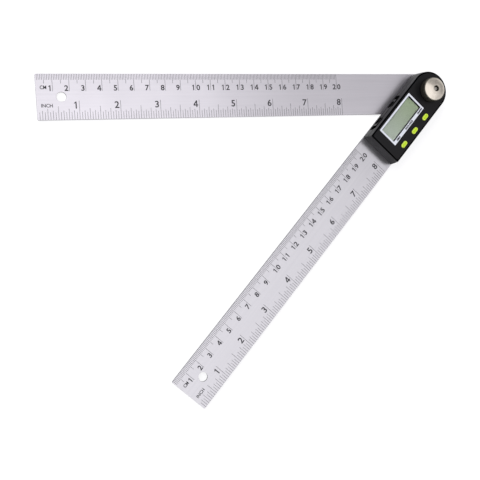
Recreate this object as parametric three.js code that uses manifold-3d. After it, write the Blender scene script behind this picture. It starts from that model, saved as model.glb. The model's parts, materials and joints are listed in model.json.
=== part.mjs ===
// Digital angle finder: two 20 cm steel rules on one pivot. The display head, with its
// window, keys and battery drawer, is fixed on the upper rule, and a knurled knob locks
// the angle. Millimetres, +Z up, with the tool lying flat. The origin is on the pivot
// axis at the underside of the lower rule, which runs along -X.

import * as THREE from 'three'
import { mergeVertices } from 'three/addons/utils/BufferGeometryUtils.js'
import Module from 'manifold-3d'

const wasm = await Module()
wasm.setup()

// Clearances and drawing fineness
const fitGap = 0.3
const slimGap = 0.2
const overrun = 2
const endSteps = 24
const cornerSteps = 4
const holeSteps = 32
const pillSteps = 8
const turnSteps = 48
const smallTurnSteps = 20

// Rules
const ruleWidth = 28
const ruleThickness = 1.2
const ruleReach = 266
const ruleCornerRadius = 0.6
const hangingHoleRadius = 3
const hangingHoleInset = 15
const openingAngle = THREE.MathUtils.degToRad(45.8)

// Pivot: flanged hub, bush, washers and retaining ring
const hubFlangeRadius = 9
const hubShaftRadius = 5
const hubGrooveDepth = 0.7
const hubNeckRadius = 3
const bushWall = 1.2
const bushFlangeWidth = 1.1
const bushFlangeThickness = 0.8
const frictionWasherInset = 2
const frictionWasherThickness = 0.3
const waveSpringHeight = 0.5
const waveSpringThickness = 0.2
const waveSpringWidth = 1.9
const waveCount = 3
const retainingRingThickness = 0.8
const retainingRingWidth = 2.6
const retainingRingOpening = THREE.MathUtils.degToRad(70)

// Display head shell
const headReach = 55.5
const headFootOverhang = 0.3
const headLean = 0.9
const headCornerRadius = 1
const wallThickness = 1.6
const endWallThickness = 2.4
const floorThickness = 1
const coverThickness = 1.3
const coverEdgeThickness = 0.5
const postRadius = 2.2

// Battery cell and its drawer
const cellHeight = 3.2
const cellCanStep = 0.4
const drawerShift = 2.2
const drawerFrontReach = 4.3
const drawerSideWall = 1.4
const drawerFloorThickness = 0.5
const drawerRimDrop = 0.4
const drawerCutback = 2
const drawerLedge = 3.5
const gripSlotLength = 6.4
const gripSlotHeight = 3.2
const gripSlotDepth = 0.9
const gripSlotShift = 7.7
const thumbNotchLength = 3.4
const thumbNotchHeight = 3.2
const thumbNotchDepth = 0.9
const railThickness = 1

// Circuit board and what it carries
const cellContactRoom = 0.6
const boardThickness = 0.8
const encoderRotorRoom = 1.6
const encoderRotorThickness = 0.5
const contactThickness = 0.2
const contactWidth = 4
const contactSpan = 8
const contactPad = 1.6
const sideContactDrop = 3.2
const sideContactFoot = 1.8
const sideContactRoom = 1.4
const chipRoom = 1.5
const chipHeight = 0.6
const crystalRadius = 1
const crystalLength = 6
const zebraWidth = 1.4

// Window: printed frame, lens and display
const frameOverlap = 0.5
const frameBorder = 1.3
const frameKeyBorder = 2.3
const frameThickness = 0.2
const lensThickness = 0.7
const lensMargin = 0.9
const windowLipThickness = 0.7
const lcdSideRoom = 0.88
const lcdKeyRoom = 3.12
const lcdThickness = 1.2
const lcdLedge = 1
const holderHeight = 0.9
const holderWall = 1
const reflectorThickness = 0.2

// Keys and their switches
const keyNames = ['on_off', 'hold', 'zero']
const keyEndRoom = 1.45
const keyWallRoom = 0.5
const keyRowShift = 0.8
const keyLength = 5.4
const keyWidth = 2.8
const keyRise = 0.5
const keyFlangeMargin = 0.5
const keyFlangeThickness = 0.6
const keyTravel = 0.4
const keySlack = 0.1
const switchLength = 6
const switchHeight = 0.7
const plungerRadius = 1.2
const plungerHeight = 0.3

// Fasteners
const screwRadius = 1
const screwHeadRadius = 1.9
const screwHeadHeight = 0.9
const screwTipHeight = 0.8
const screwTipShare = 0.4
const screwEndGap = 0.5
const driveSlotLength = 2.2
const driveSlotWidth = 0.5
const driveSlotDepth = 0.5

// Lock: stud, washer and knurled knob
const studRadius = 1.5
const studChamfer = 0.4
const studSeatRise = 1.8
const studRecess = 1.4
const knobWasherRadius = 6
const knobWasherThickness = 0.5
const knobRadius = 8.1
const knobHeight = 7.9
const knobCrown = 2.2
const knobCrownSteps = 8
const knobChamfer = 0.5
const knobBoreChamfer = 0.4
const knurlCount = 64
const knurlDepth = 0.3

// Heights, stacked up from the surface that the tool lies on
const upperRuleBottom = ruleThickness + frictionWasherThickness
const upperRuleTop = upperRuleBottom + ruleThickness
const floorTop = upperRuleTop + floorThickness
const drawerBottom = floorTop + fitGap
const cellBottom = drawerBottom + drawerFloorThickness
const cellTop = cellBottom + cellHeight
const boardBottom = cellTop + cellContactRoom
const boardTop = boardBottom + boardThickness
const holderTop = boardTop + holderHeight
const lcdBottom = holderTop + reflectorThickness
const lcdTop = lcdBottom + lcdThickness
const lensTop = lcdTop + lensThickness
const coverTop = lensTop + windowLipThickness
const coverUnderside = coverTop - coverThickness
const wallTop = coverTop - coverEdgeThickness - fitGap
const rotorTop = boardBottom - fitGap
const rotorBottom = rotorTop - encoderRotorThickness
const bushFlangeTop = floorTop + bushFlangeThickness
const ringBottom = bushFlangeTop + waveSpringHeight + slimGap
const ringTop = ringBottom + retainingRingThickness
const knobBottom = coverTop + knobWasherThickness
const knobTop = knobBottom + knobHeight

// Places that follow from those sizes
const bushBore = hubShaftRadius + fitGap
const bushRadius = bushBore + bushWall
const bushFlangeRadius = bushRadius + bushFlangeWidth
const frictionWasherRadius = ruleWidth / 2 - frictionWasherInset
const headFootHalfWidth = ruleWidth / 2 + headFootOverhang
const headTopHalfWidth = headFootHalfWidth - headLean
const innerHalfWidth = headTopHalfWidth - wallThickness
const innerReach = headReach - endWallThickness
const encoderRotorRadius = innerHalfWidth - encoderRotorRoom
const boardHalfWidth = innerHalfWidth - fitGap
const boardReach = innerReach - fitGap

// The display fills the space along the head between the two pairs of screw posts
const screwHoleRadius = screwRadius + fitGap
const farPostX = -(boardReach - postRadius)
const nearPostX = -(bushFlangeRadius + 2 * fitGap + postRadius)
const postY = boardHalfWidth - postRadius
const lcdLength = nearPostX - farPostX - 2 * (postRadius + fitGap)
const windowCentreX = (nearPostX + farPostX) / 2

// Across the head come the keys, the display and the room beside it
const keyRowY = keyWallRoom + fitGap + keyFlangeMargin + keyWidth / 2 - innerHalfWidth
const keyPitch = (lcdLength - keyLength) / 2 - keyFlangeMargin - keyEndRoom
const lcdLow = keyRowY + keyWidth / 2 + keyFlangeMargin + lcdKeyRoom
const lcdWidth = innerHalfWidth - lcdSideRoom - lcdLow
const windowCentreY = lcdLow + lcdWidth / 2
const frameLength = lcdLength
const frameWidth = lcdWidth + frameOverlap
const frameLow = windowCentreY - frameWidth / 2

// The cell takes the width that the drawer's front and the contact behind it leave
const drawerFrontThickness = wallThickness - slimGap
const cellFrontY = headTopHalfWidth - drawerFrontThickness - fitGap
const cellBackY = sideContactRoom + sideContactFoot + fitGap - innerHalfWidth
const cellRadius = (cellFrontY - cellBackY) / 2
const cellCentreY = (cellFrontY + cellBackY) / 2
const drawerCentreX = windowCentreX - drawerShift
const drawerEndY = cellBackY + drawerCutback
const drawerHalfLength = cellRadius + fitGap + drawerSideWall
const drawerFrontHalf = drawerHalfLength + drawerFrontReach
const drawerRimTop = cellTop - drawerRimDrop

// A closed mesh as a solid that can be cut and joined
function solid(geometry) {
  const bare = geometry.clone()
  bare.deleteAttribute('normal')
  bare.deleteAttribute('uv')
  const merged = mergeVertices(bare)
  const vertProperties = new Float32Array(merged.attributes.position.array)
  const triVerts = new Uint32Array(merged.index.array)
  return new wasm.Manifold(new wasm.Mesh({ numProp: 3, vertProperties, triVerts }))
}

// The solid's triangles as a geometry again
function geometryOf(body) {
  const { vertProperties, triVerts } = body.getMesh()
  const geometry = new THREE.BufferGeometry()
  geometry.setAttribute('position', new THREE.BufferAttribute(vertProperties, 3))
  geometry.setIndex(new THREE.BufferAttribute(triVerts, 1))
  geometry.computeVertexNormals()
  return geometry
}

// A flat outline raised between two heights
function raised(shape, bottom, top) {
  const geometry = new THREE.ExtrudeGeometry(shape, { depth: top - bottom, bevelEnabled: false })
  return solid(geometry.translate(0, 0, bottom))
}

// An outline in the YZ plane drawn out along X
function drawnAlongX(shape, start, end) {
  const geometry = new THREE.ExtrudeGeometry(shape, { depth: end - start, bevelEnabled: false })
  const turn = new THREE.Matrix4().makeBasis(
    new THREE.Vector3(0, 1, 0),
    new THREE.Vector3(0, 0, 1),
    new THREE.Vector3(1, 0, 0)
  )
  return solid(geometry.applyMatrix4(turn).translate(start, 0, 0))
}

// A profile of [radius, height] pairs, turned about the Z axis
function turned(profile, steps = turnSteps) {
  const points = profile.map(([radius, height]) => new THREE.Vector2(radius, height))
  return solid(new THREE.LatheGeometry(points, steps).rotateX(Math.PI / 2))
}

function disc(radius, bottom, top, steps = smallTurnSteps) {
  return turned([[0, bottom], [radius, bottom], [radius, top], [0, top]], steps)
}

function ring(inner, outer, bottom, top) {
  return turned([[inner, bottom], [outer, bottom], [outer, top], [inner, top], [inner, bottom]])
}

function block(x0, x1, y0, y1, bottom, top) {
  const geometry = new THREE.BoxGeometry(x1 - x0, y1 - y0, top - bottom)
  return solid(geometry.translate((x0 + x1) / 2, (y0 + y1) / 2, (bottom + top) / 2))
}

function moved(body, x, y, z = 0) {
  return body.translate([x, y, z])
}

function joined(first, ...others) {
  return others.reduce((sum, other) => sum.add(other), first)
}

function cut(first, ...others) {
  return others.reduce((rest, other) => rest.subtract(other), first)
}

// Points along an arc, both ends included
function arc(x, y, radius, start, end, steps) {
  const points = []
  for (let i = 0; i <= steps; i += 1) {
    const angle = start + (end - start) * i / steps
    points.push(new THREE.Vector2(x + radius * Math.cos(angle), y + radius * Math.sin(angle)))
  }
  return points
}

// A bar outline with a square end at -reach and a round end about the pivot
function tongue(reach, halfWidth, cornerRadius) {
  const cornerX = cornerRadius - reach
  const cornerY = halfWidth - cornerRadius
  return new THREE.Shape([
    ...arc(cornerX, cornerY, cornerRadius, Math.PI / 2, Math.PI, cornerSteps),
    ...arc(cornerX, -cornerY, cornerRadius, Math.PI, 1.5 * Math.PI, cornerSteps),
    ...arc(0, 0, halfWidth, -Math.PI / 2, Math.PI / 2, endSteps)
  ])
}

function roundHole(x, y, radius) {
  return new THREE.Path(arc(x, y, radius, 0, 2 * Math.PI, holeSteps).slice(1))
}

function rectangle(x0, x1, y0, y1) {
  const corners = [[x0, y0], [x1, y0], [x1, y1], [x0, y1]]
  return new THREE.Shape(corners.map(([x, y]) => new THREE.Vector2(x, y)))
}

// A slot outline with round ends, lying along X
function pill(x, y, length, width) {
  const radius = width / 2
  const reach = length / 2 - radius
  return new THREE.Shape([
    ...arc(x + reach, y, radius, -Math.PI / 2, Math.PI / 2, pillSteps),
    ...arc(x - reach, y, radius, Math.PI / 2, 1.5 * Math.PI, pillSteps)
  ])
}

function postPlaces() {
  return [
    [farPostX, postY],
    [farPostX, -postY],
    [nearPostX, postY],
    [nearPostX, -postY]
  ]
}

function keyPlaces() {
  const centreX = windowCentreX + keyRowShift
  return keyNames.map((name, index) => ({ name, x: centreX + (1 - index) * keyPitch }))
}

// Materials
const steel = { color: 0xc9c9ce, roughness: 0.35, metalness: 1 }
const brass = { color: 0xc8a860, roughness: 0.4, metalness: 1 }
const nickel = { color: 0xd8d4cc, roughness: 0.3, metalness: 1 }
const blackShell = { color: 0x24262a, roughness: 0.55, metalness: 0 }
const nylon = { color: 0xe6e2d6, roughness: 0.6, metalness: 0 }
const boardGreen = { color: 0x1f5a36, roughness: 0.5, metalness: 0 }
const limeKey = { color: 0xc2dc2a, roughness: 0.5, metalness: 0 }
const paleFrame = { color: 0xeceef2, roughness: 0.5, metalness: 0 }
const clearLens = { color: 0xf4f8f8, roughness: 0.1, metalness: 0, transparent: true, opacity: 0.35 }
const displayGlass = { color: 0xa2b096, roughness: 0.25, metalness: 0 }
const greyRubber = { color: 0x4a4c50, roughness: 0.8, metalness: 0 }
const blackResin = { color: 0x101114, roughness: 0.4, metalness: 0 }

function part(name, finish, body) {
  const mesh = new THREE.Mesh(geometryOf(body), new THREE.MeshStandardMaterial(finish))
  mesh.name = name
  return mesh
}

// Rules
function rule(pivotHoleRadius, bottom) {
  const shape = tongue(ruleReach, ruleWidth / 2, ruleCornerRadius)
  shape.holes.push(roundHole(hangingHoleInset - ruleReach, 0, hangingHoleRadius))
  shape.holes.push(roundHole(0, 0, pivotHoleRadius))
  return raised(shape, bottom, bottom + ruleThickness)
}

function lowerRule() {
  return part('lower_rule', steel, rule(hubFlangeRadius + fitGap, 0))
}

// The upper rule is countersunk for the screws that hold the head on it
function upperRule() {
  const countersink = turned([
    [0, upperRuleBottom - overrun],
    [screwHeadRadius + fitGap, upperRuleBottom - overrun],
    [screwHeadRadius + fitGap, upperRuleBottom],
    [screwHoleRadius, upperRuleBottom + screwHeadHeight],
    [screwHoleRadius, upperRuleTop + overrun],
    [0, upperRuleTop + overrun]
  ], smallTurnSteps)
  const holes = postPlaces().map(([x, y]) => moved(countersink, x, y))
  return part('upper_rule', steel, cut(rule(bushRadius + fitGap, upperRuleBottom), ...holes))
}

// Pivot
// The hub's flange is staked in the lower rule. Its shaft carries everything that turns.
function pivotHub() {
  const grooveRadius = hubShaftRadius - hubGrooveDepth
  const body = turned([
    [0, 0],
    [hubFlangeRadius, 0],
    [hubFlangeRadius, ruleThickness],
    [hubShaftRadius, ruleThickness],
    [hubShaftRadius, ringBottom],
    [grooveRadius, ringBottom],
    [grooveRadius, ringTop],
    [hubShaftRadius, ringTop],
    [hubShaftRadius, rotorBottom],
    [hubNeckRadius, rotorBottom],
    [hubNeckRadius, rotorTop],
    [0, rotorTop]
  ])
  const bore = disc(studRadius + fitGap, studSeatRise, rotorTop + overrun)
  return part('pivot_hub', nickel, cut(body, bore))
}

function frictionWasher() {
  const body = ring(bushBore, frictionWasherRadius, ruleThickness, upperRuleBottom)
  return part('friction_washer', nylon, body)
}

function pivotBush() {
  const body = turned([
    [bushBore, upperRuleBottom],
    [bushRadius, upperRuleBottom],
    [bushRadius, floorTop],
    [bushFlangeRadius, floorTop],
    [bushFlangeRadius, bushFlangeTop],
    [bushBore, bushFlangeTop],
    [bushBore, upperRuleBottom]
  ])
  return part('pivot_bush', brass, body)
}

// A flat ring bent into waves, which presses the arms together
function waveSpring() {
  const inner = bushBore
  const outer = bushBore + waveSpringWidth
  const middle = bushFlangeTop + slimGap / 2 + waveSpringHeight / 2
  const swing = (waveSpringHeight - waveSpringThickness) / 2
  const low = middle - waveSpringThickness / 2
  const high = middle + waveSpringThickness / 2
  const profile = [[inner, low], [outer, low], [outer, high], [inner, high], [inner, low]]
  const points = profile.map(([radius, height]) => new THREE.Vector2(radius, height))
  const geometry = new THREE.LatheGeometry(points, turnSteps).rotateX(Math.PI / 2)
  const place = geometry.attributes.position
  for (let i = 0; i < place.count; i += 1) {
    const angle = Math.atan2(place.getY(i), place.getX(i))
    place.setZ(i, place.getZ(i) + swing * Math.cos(waveCount * angle))
  }
  return part('wave_spring', steel, solid(geometry))
}

function retainingRing() {
  const inner = hubShaftRadius - hubGrooveDepth + fitGap
  const outer = inner + retainingRingWidth
  const start = retainingRingOpening / 2
  const end = 2 * Math.PI - start
  const shape = new THREE.Shape([
    ...arc(0, 0, outer, start, end, holeSteps),
    ...arc(0, 0, inner, end, start, holeSteps)
  ])
  return part('retaining_ring', steel, raised(shape, ringBottom, ringTop))
}

function encoderRotor() {
  const body = ring(hubNeckRadius + fitGap, encoderRotorRadius, rotorBottom, rotorTop)
  return part('encoder_rotor', boardGreen, body)
}

// Lock
function lockStud() {
  const top = knobTop - studRecess
  const body = turned([
    [0, studSeatRise],
    [studRadius - studChamfer, studSeatRise],
    [studRadius, studSeatRise + studChamfer],
    [studRadius, top - studChamfer],
    [studRadius - studChamfer, top],
    [0, top]
  ], smallTurnSteps)
  return part('lock_stud', steel, body)
}

function knobWasher() {
  const body = ring(studRadius + fitGap, knobWasherRadius, coverTop, knobBottom)
  return part('knob_washer', steel, body)
}

// The knob's top face is a dome, flat where it meets the bore's chamfer
function lockKnob() {
  const bore = studRadius + fitGap
  const faceStart = knobRadius - knobChamfer
  const faceEnd = bore + knobBoreChamfer
  const face = []
  for (let i = 0; i <= knobCrownSteps; i += 1) {
    const inwardShare = i / knobCrownSteps
    const radius = faceStart + (faceEnd - faceStart) * inwardShare
    face.push([radius, knobTop - knobCrown * (1 - inwardShare) ** 2])
  }
  const body = turned([
    [bore, knobBottom],
    [faceStart, knobBottom],
    [knobRadius, knobBottom + knobChamfer],
    [knobRadius, knobTop - knobCrown - knobChamfer],
    ...face,
    [bore, knobTop - knobBoreChamfer],
    [bore, knobBottom]
  ])
  const teeth = []
  for (let i = 0; i < knurlCount; i += 1) {
    const crest = i * 2 * Math.PI / knurlCount
    const root = crest + Math.PI / knurlCount
    const rootRadius = knobRadius - knurlDepth
    teeth.push(new THREE.Vector2(knobRadius * Math.cos(crest), knobRadius * Math.sin(crest)))
    teeth.push(new THREE.Vector2(rootRadius * Math.cos(root), rootRadius * Math.sin(root)))
  }
  const knurl = raised(new THREE.Shape(teeth), knobBottom - overrun, knobTop + overrun)
  return part('lock_knob', nickel, body.intersect(knurl))
}

// Head shell
// The long sides and the round end lean in a little towards the top
function headBlank() {
  const outline = tongue(headReach, headFootHalfWidth, headCornerRadius)
  const rise = coverTop - upperRuleTop
  const leanShare = headLean / headFootHalfWidth
  const geometry = new THREE.ExtrudeGeometry(outline, { depth: rise, bevelEnabled: false })
  const place = geometry.attributes.position
  for (let i = 0; i < place.count; i += 1) {
    const widthShare = 1 - leanShare * place.getZ(i) / rise
    place.setY(i, place.getY(i) * widthShare)
    if (place.getX(i) > 0) {
      place.setX(i, place.getX(i) * widthShare)
    }
  }
  return solid(geometry.translate(0, 0, upperRuleTop))
}

// Everything above or below a height, wide enough for the whole head
function slab(bottom, top) {
  const reach = headReach + overrun
  return block(-reach, reach, -reach, reach, bottom, top)
}

// The drawer's front plate, or the mouth that it closes when it has a gap round it
function drawerFront(gap, top) {
  const half = drawerFrontHalf + gap
  const back = headTopHalfWidth - drawerFrontThickness - gap
  const x0 = drawerCentreX - half
  const x1 = drawerCentreX + half
  return block(x0, x1, back, headFootHalfWidth + overrun, drawerBottom - gap, top)
}

// Tub with floor and walls, screw posts, drawer rails and the drawer's mouth
function housingBase() {
  const inside = tongue(innerReach, innerHalfWidth, headCornerRadius)
  const cavity = raised(inside, floorTop, coverTop + overrun)
  const tub = cut(headBlank(), slab(wallTop, coverTop + overrun), cavity)
  const posts = postPlaces().map(([x, y]) => moved(disc(postRadius, upperRuleTop, boardBottom), x, y))
  const holes = postPlaces().map(([x, y]) => {
    return moved(disc(screwHoleRadius, upperRuleTop - overrun, boardBottom + overrun), x, y)
  })
  const railInner = drawerHalfLength + fitGap
  const railEnd = innerHalfWidth - slimGap
  const rails = [-1, 1].map((side) => {
    const near = drawerCentreX + side * railInner
    const far = near + side * railThickness
    const x0 = Math.min(near, far)
    const x1 = Math.max(near, far)
    return block(x0, x1, drawerEndY, railEnd, upperRuleTop, drawerRimTop)
  })
  const hubHole = disc(bushRadius + fitGap, upperRuleTop - overrun, floorTop + overrun, turnSteps)
  const mouth = drawerFront(fitGap, boardBottom)
  const body = cut(joined(tub, ...posts, ...rails), ...holes, hubHole, mouth)
  return part('housing_base', blackShell, body)
}

// Cover plate that drops into the tub, with an edge that overhangs the walls
function housingCover() {
  const edge = cut(headBlank(), slab(upperRuleTop - overrun, wallTop + fitGap))
  const plate = raised(tongue(boardReach, boardHalfWidth, headCornerRadius), coverUnderside, coverTop)
  const screwEnd = coverTop - coverEdgeThickness
  const bosses = postPlaces().map(([x, y]) => moved(disc(postRadius, boardTop, screwEnd), x, y))
  const holes = postPlaces().map(([x, y]) => {
    return moved(disc(screwHoleRadius, boardTop - overrun, screwEnd), x, y)
  })
  const [x0, x1, y0, y1] = frameOpening()
  const opening = raised(rectangle(x0, x1, y0, y1), coverUnderside - overrun, coverTop + overrun)
  const ledge = lensMargin + fitGap
  const seatOutline = rectangle(x0 - ledge, x1 + ledge, y0 - ledge, y1 + ledge)
  const seat = raised(seatOutline, coverUnderside - overrun, lensTop)
  const keyHoles = keyPlaces().map(({ x }) => {
    const outline = pill(x, keyRowY, keyLength + 2 * slimGap, keyWidth + 2 * slimGap)
    return raised(outline, coverUnderside - overrun, coverTop + overrun)
  })
  const studHole = disc(studRadius + fitGap, coverUnderside - overrun, coverTop + overrun)
  const body = cut(joined(edge, plate, ...bosses), ...holes, opening, seat, ...keyHoles, studHole)
  return part('housing_cover', blackShell, body)
}

// Window
// The clear opening inside the printed frame: x0, x1, y0, y1
function frameOpening() {
  const half = frameLength / 2 - frameBorder
  return [
    windowCentreX - half,
    windowCentreX + half,
    frameLow + frameKeyBorder,
    frameLow + frameWidth - frameBorder
  ]
}

function windowFrame() {
  const half = frameLength / 2
  const shape = rectangle(windowCentreX - half, windowCentreX + half, frameLow, frameLow + frameWidth)
  shape.holes.push(rectangle(...frameOpening()))
  return part('window_frame', paleFrame, raised(shape, coverTop, coverTop + frameThickness))
}

function windowLens() {
  const [x0, x1, y0, y1] = frameOpening()
  const shape = rectangle(x0 - lensMargin, x1 + lensMargin, y0 - lensMargin, y1 + lensMargin)
  return part('window_lens', clearLens, raised(shape, lcdTop, lensTop))
}

// The display is two bonded panes, and the lower one stands out as a ledge for its contacts
function lcdGlass() {
  const half = lcdLength / 2
  const x0 = windowCentreX - half
  const x1 = windowCentreX + half
  const high = lcdLow + lcdWidth
  const middle = (lcdBottom + lcdTop) / 2
  const lower = block(x0, x1, lcdLow, high, lcdBottom, middle)
  const upper = block(x0, x1, lcdLow + lcdLedge, high, middle, lcdTop)
  return part('lcd_glass', displayGlass, joined(lower, upper))
}

function holderOutline() {
  const half = lcdLength / 2
  const low = lcdLow + zebraWidth + 2 * fitGap
  return [windowCentreX - half, windowCentreX + half, low, lcdLow + lcdWidth]
}

function reflectorSheet() {
  const body = raised(rectangle(...holderOutline()), holderTop, lcdBottom)
  return part('reflector_sheet', nylon, body)
}

function lcdHolder() {
  const [x0, x1, y0, y1] = holderOutline()
  const shape = rectangle(x0, x1, y0, y1)
  shape.holes.push(rectangle(x0 + holderWall, x1 - holderWall, y0 + holderWall, y1 - holderWall))
  return part('lcd_holder', nylon, raised(shape, boardTop, holderTop))
}

// The striped rubber strip that joins the display's contacts to the board
function zebraStrip() {
  const half = lcdLength / 2 - holderWall
  const low = lcdLow + fitGap
  const shape = rectangle(windowCentreX - half, windowCentreX + half, low, low + zebraWidth)
  return part('zebra_strip', greyRubber, raised(shape, boardTop, lcdBottom))
}

// Circuit
function circuitBoard() {
  const shape = tongue(boardReach, boardHalfWidth, headCornerRadius)
  shape.holes.push(roundHole(0, 0, studRadius + 2 * fitGap))
  for (const [x, y] of postPlaces()) {
    shape.holes.push(roundHole(x, y, screwHoleRadius))
  }
  return part('circuit_board', boardGreen, raised(shape, boardBottom, boardTop))
}

// The controller sits under a blob of resin inside the display's holder
function controllerChip() {
  const [, , y0, y1] = holderOutline()
  const chipRadius = (y1 - y0) / 2 - holderWall - chipRoom
  const crown = chipHeight / 2
  const body = turned([
    [0, boardTop],
    [chipRadius, boardTop],
    [chipRadius - crown, boardTop + crown],
    [0, boardTop + chipHeight]
  ], smallTurnSteps)
  return part('controller_chip', blackResin, moved(body, windowCentreX, (y0 + y1) / 2))
}

// The clock crystal lies between the display and the switches, cut flat where it is soldered
function clockCrystal() {
  const outline = new THREE.Shape(arc(0, 0, crystalRadius, 0, 2 * Math.PI, smallTurnSteps).slice(1))
  const half = crystalLength / 2
  const centreY = (lcdLow + keyRowY + keyWidth / 2) / 2
  const can = drawnAlongX(outline, windowCentreX - half, windowCentreX + half)
  const flat = slab(boardTop - overrun, boardTop)
  const centreZ = boardTop + crystalRadius - slimGap / 2
  return part('clock_crystal', steel, cut(moved(can, 0, centreY, centreZ), flat))
}

function keySwitch(name, x) {
  const half = switchLength / 2
  const low = keyRowY - keyWidth / 2
  const top = boardTop + switchHeight
  const box = block(x - half, x + half, low, low + keyWidth, boardTop, top)
  const plunger = moved(disc(plungerRadius, boardTop, top + plungerHeight), x, keyRowY)
  return part(`${name}_switch`, blackResin, joined(box, plunger))
}

// Leaf soldered under the board, bowed down onto the cell's small face
function topContact() {
  const half = contactSpan / 2
  const pad = half - contactPad
  const low = cellTop + slimGap
  const shape = new THREE.Shape([
    [-half, boardBottom],
    [-half, boardBottom - contactThickness],
    [-pad, boardBottom - contactThickness],
    [-pad / 2, low],
    [pad / 2, low],
    [pad, boardBottom - contactThickness],
    [half, boardBottom - contactThickness],
    [half, boardBottom],
    [pad, boardBottom],
    [pad / 2, low + contactThickness],
    [-pad / 2, low + contactThickness],
    [-pad, boardBottom]
  ].map(([y, z]) => new THREE.Vector2(y, z)))
  const x0 = drawerCentreX - contactWidth / 2
  const leaf = drawnAlongX(shape, x0, x0 + contactWidth)
  return part('top_contact', nickel, moved(leaf, 0, cellCentreY))
}

// Leaf that hangs behind the drawer and touches the side of the cell's can
function sideContact() {
  const face = cellBackY - fitGap
  const back = face - contactThickness
  const low = boardBottom - sideContactDrop
  const shape = new THREE.Shape([
    [face, boardBottom],
    [face - sideContactFoot, boardBottom],
    [face - sideContactFoot, boardBottom - contactThickness],
    [back, boardBottom - contactThickness],
    [back, low],
    [face, low]
  ].map(([y, z]) => new THREE.Vector2(y, z)))
  const x0 = drawerCentreX - contactWidth / 2
  return part('side_contact', nickel, drawnAlongX(shape, x0, x0 + contactWidth))
}

// Battery drawer
function batteryCell() {
  const canTop = cellTop - cellCanStep
  const body = turned([
    [0, cellBottom],
    [cellRadius - cellCanStep, cellBottom],
    [cellRadius, cellBottom + cellCanStep],
    [cellRadius, canTop],
    [cellRadius - cellCanStep, canTop],
    [cellRadius - 2 * cellCanStep, cellTop],
    [0, cellTop]
  ])
  return part('battery_cell', nickel, moved(body, drawerCentreX, cellCentreY))
}

// An open-ended cradle behind a front plate that fills the mouth in the side wall
function batteryDrawer() {
  const front = drawerFront(0, boardBottom - fitGap).intersect(headBlank())
  const x0 = drawerCentreX - drawerHalfLength
  const x1 = drawerCentreX + drawerHalfLength
  const joint = headTopHalfWidth - drawerFrontThickness / 2
  const cradle = block(x0, x1, drawerEndY, joint, drawerBottom, drawerRimTop)
  const pocket = disc(cellRadius + fitGap, cellBottom, boardTop, turnSteps)
  const window = disc(cellRadius - drawerLedge, drawerBottom - overrun, boardTop)
  const slots = [-1, 1].map((side) => {
    const middle = drawerCentreX + side * gripSlotShift
    const half = gripSlotLength / 2
    const height = (drawerBottom + boardBottom - fitGap) / 2
    const inner = headTopHalfWidth - gripSlotDepth
    const low = height - gripSlotHeight / 2
    return block(middle - half, middle + half, inner, headReach, low, low + gripSlotHeight)
  })
  const notches = [-1, 1].map((side) => {
    const end = drawerCentreX + side * drawerFrontHalf
    const inner = headTopHalfWidth - thumbNotchDepth
    const low = boardBottom - fitGap - thumbNotchHeight
    const x2 = Math.min(end, end - side * thumbNotchLength)
    const x3 = Math.max(end, end - side * thumbNotchLength)
    return block(x2, x3, inner, headReach, low, boardTop)
  })
  const cuts = [moved(pocket, drawerCentreX, cellCentreY), moved(window, drawerCentreX, cellCentreY)]
  return part('battery_drawer', blackShell, cut(joined(front, cradle), ...cuts, ...slots, ...notches))
}

// Keys
// A cap with a flange that keeps it under the cover
function key(name, x) {
  const bottom = boardTop + switchHeight + plungerHeight + keyTravel + keySlack
  const flangeTop = coverUnderside - fitGap
  const cap = raised(pill(x, keyRowY, keyLength, keyWidth), bottom, coverTop + keyRise)
  const flange = raised(
    pill(x, keyRowY, keyLength + 2 * keyFlangeMargin, keyWidth + 2 * keyFlangeMargin),
    flangeTop - keyFlangeThickness,
    flangeTop
  )
  return part(`${name}_key`, limeKey, joined(cap, flange))
}

// Countersunk screw from under the upper rule into the cover's boss, with a crossed drive
function headScrew(number, x, y) {
  const top = coverUnderside - screwEndGap
  const body = turned([
    [0, upperRuleBottom],
    [screwHeadRadius, upperRuleBottom],
    [screwRadius, upperRuleBottom + screwHeadHeight],
    [screwRadius, top - screwTipHeight],
    [screwRadius * screwTipShare, top],
    [0, top]
  ], smallTurnSteps)
  const long = driveSlotLength / 2
  const half = driveSlotWidth / 2
  const deep = upperRuleBottom + driveSlotDepth
  const slotA = block(-long, long, -half, half, upperRuleBottom - overrun, deep)
  const slotB = block(-half, half, -long, long, upperRuleBottom - overrun, deep)
  return part(`head_screw_${number}`, steel, moved(cut(body, slotA, slotB), x, y))
}

const lowerArm = new THREE.Group()
lowerArm.add(
  lowerRule(),
  pivotHub(),
  frictionWasher(),
  retainingRing(),
  encoderRotor(),
  lockStud()
)

const upperArm = new THREE.Group()
upperArm.add(
  upperRule(),
  pivotBush(),
  waveSpring(),
  housingBase(),
  housingCover(),
  windowFrame(),
  windowLens(),
  lcdGlass(),
  reflectorSheet(),
  lcdHolder(),
  zebraStrip(),
  circuitBoard(),
  controllerChip(),
  clockCrystal(),
  topContact(),
  sideContact(),
  batteryDrawer(),
  batteryCell()
)
for (const { name, x } of keyPlaces()) {
  upperArm.add(key(name, x), keySwitch(name, x))
}
postPlaces().forEach(([x, y], index) => upperArm.add(headScrew(index + 1, x, y)))
upperArm.rotation.z = openingAngle

const lock = new THREE.Group()
lock.add(knobWasher(), lockKnob())

const group = new THREE.Group()
group.add(lowerArm, upperArm, lock)

export default group
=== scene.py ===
# Digital angle finder: two steel rules on one pivot, with a display head and a lock knob.
# Lengths are millimetres. A piece is drawn as if its arm pointed to -X, and is turned to its
# arm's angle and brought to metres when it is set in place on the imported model's frame.

import json
import math

import bmesh
import bpy
from mathutils import Euler, Matrix, Vector


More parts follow.
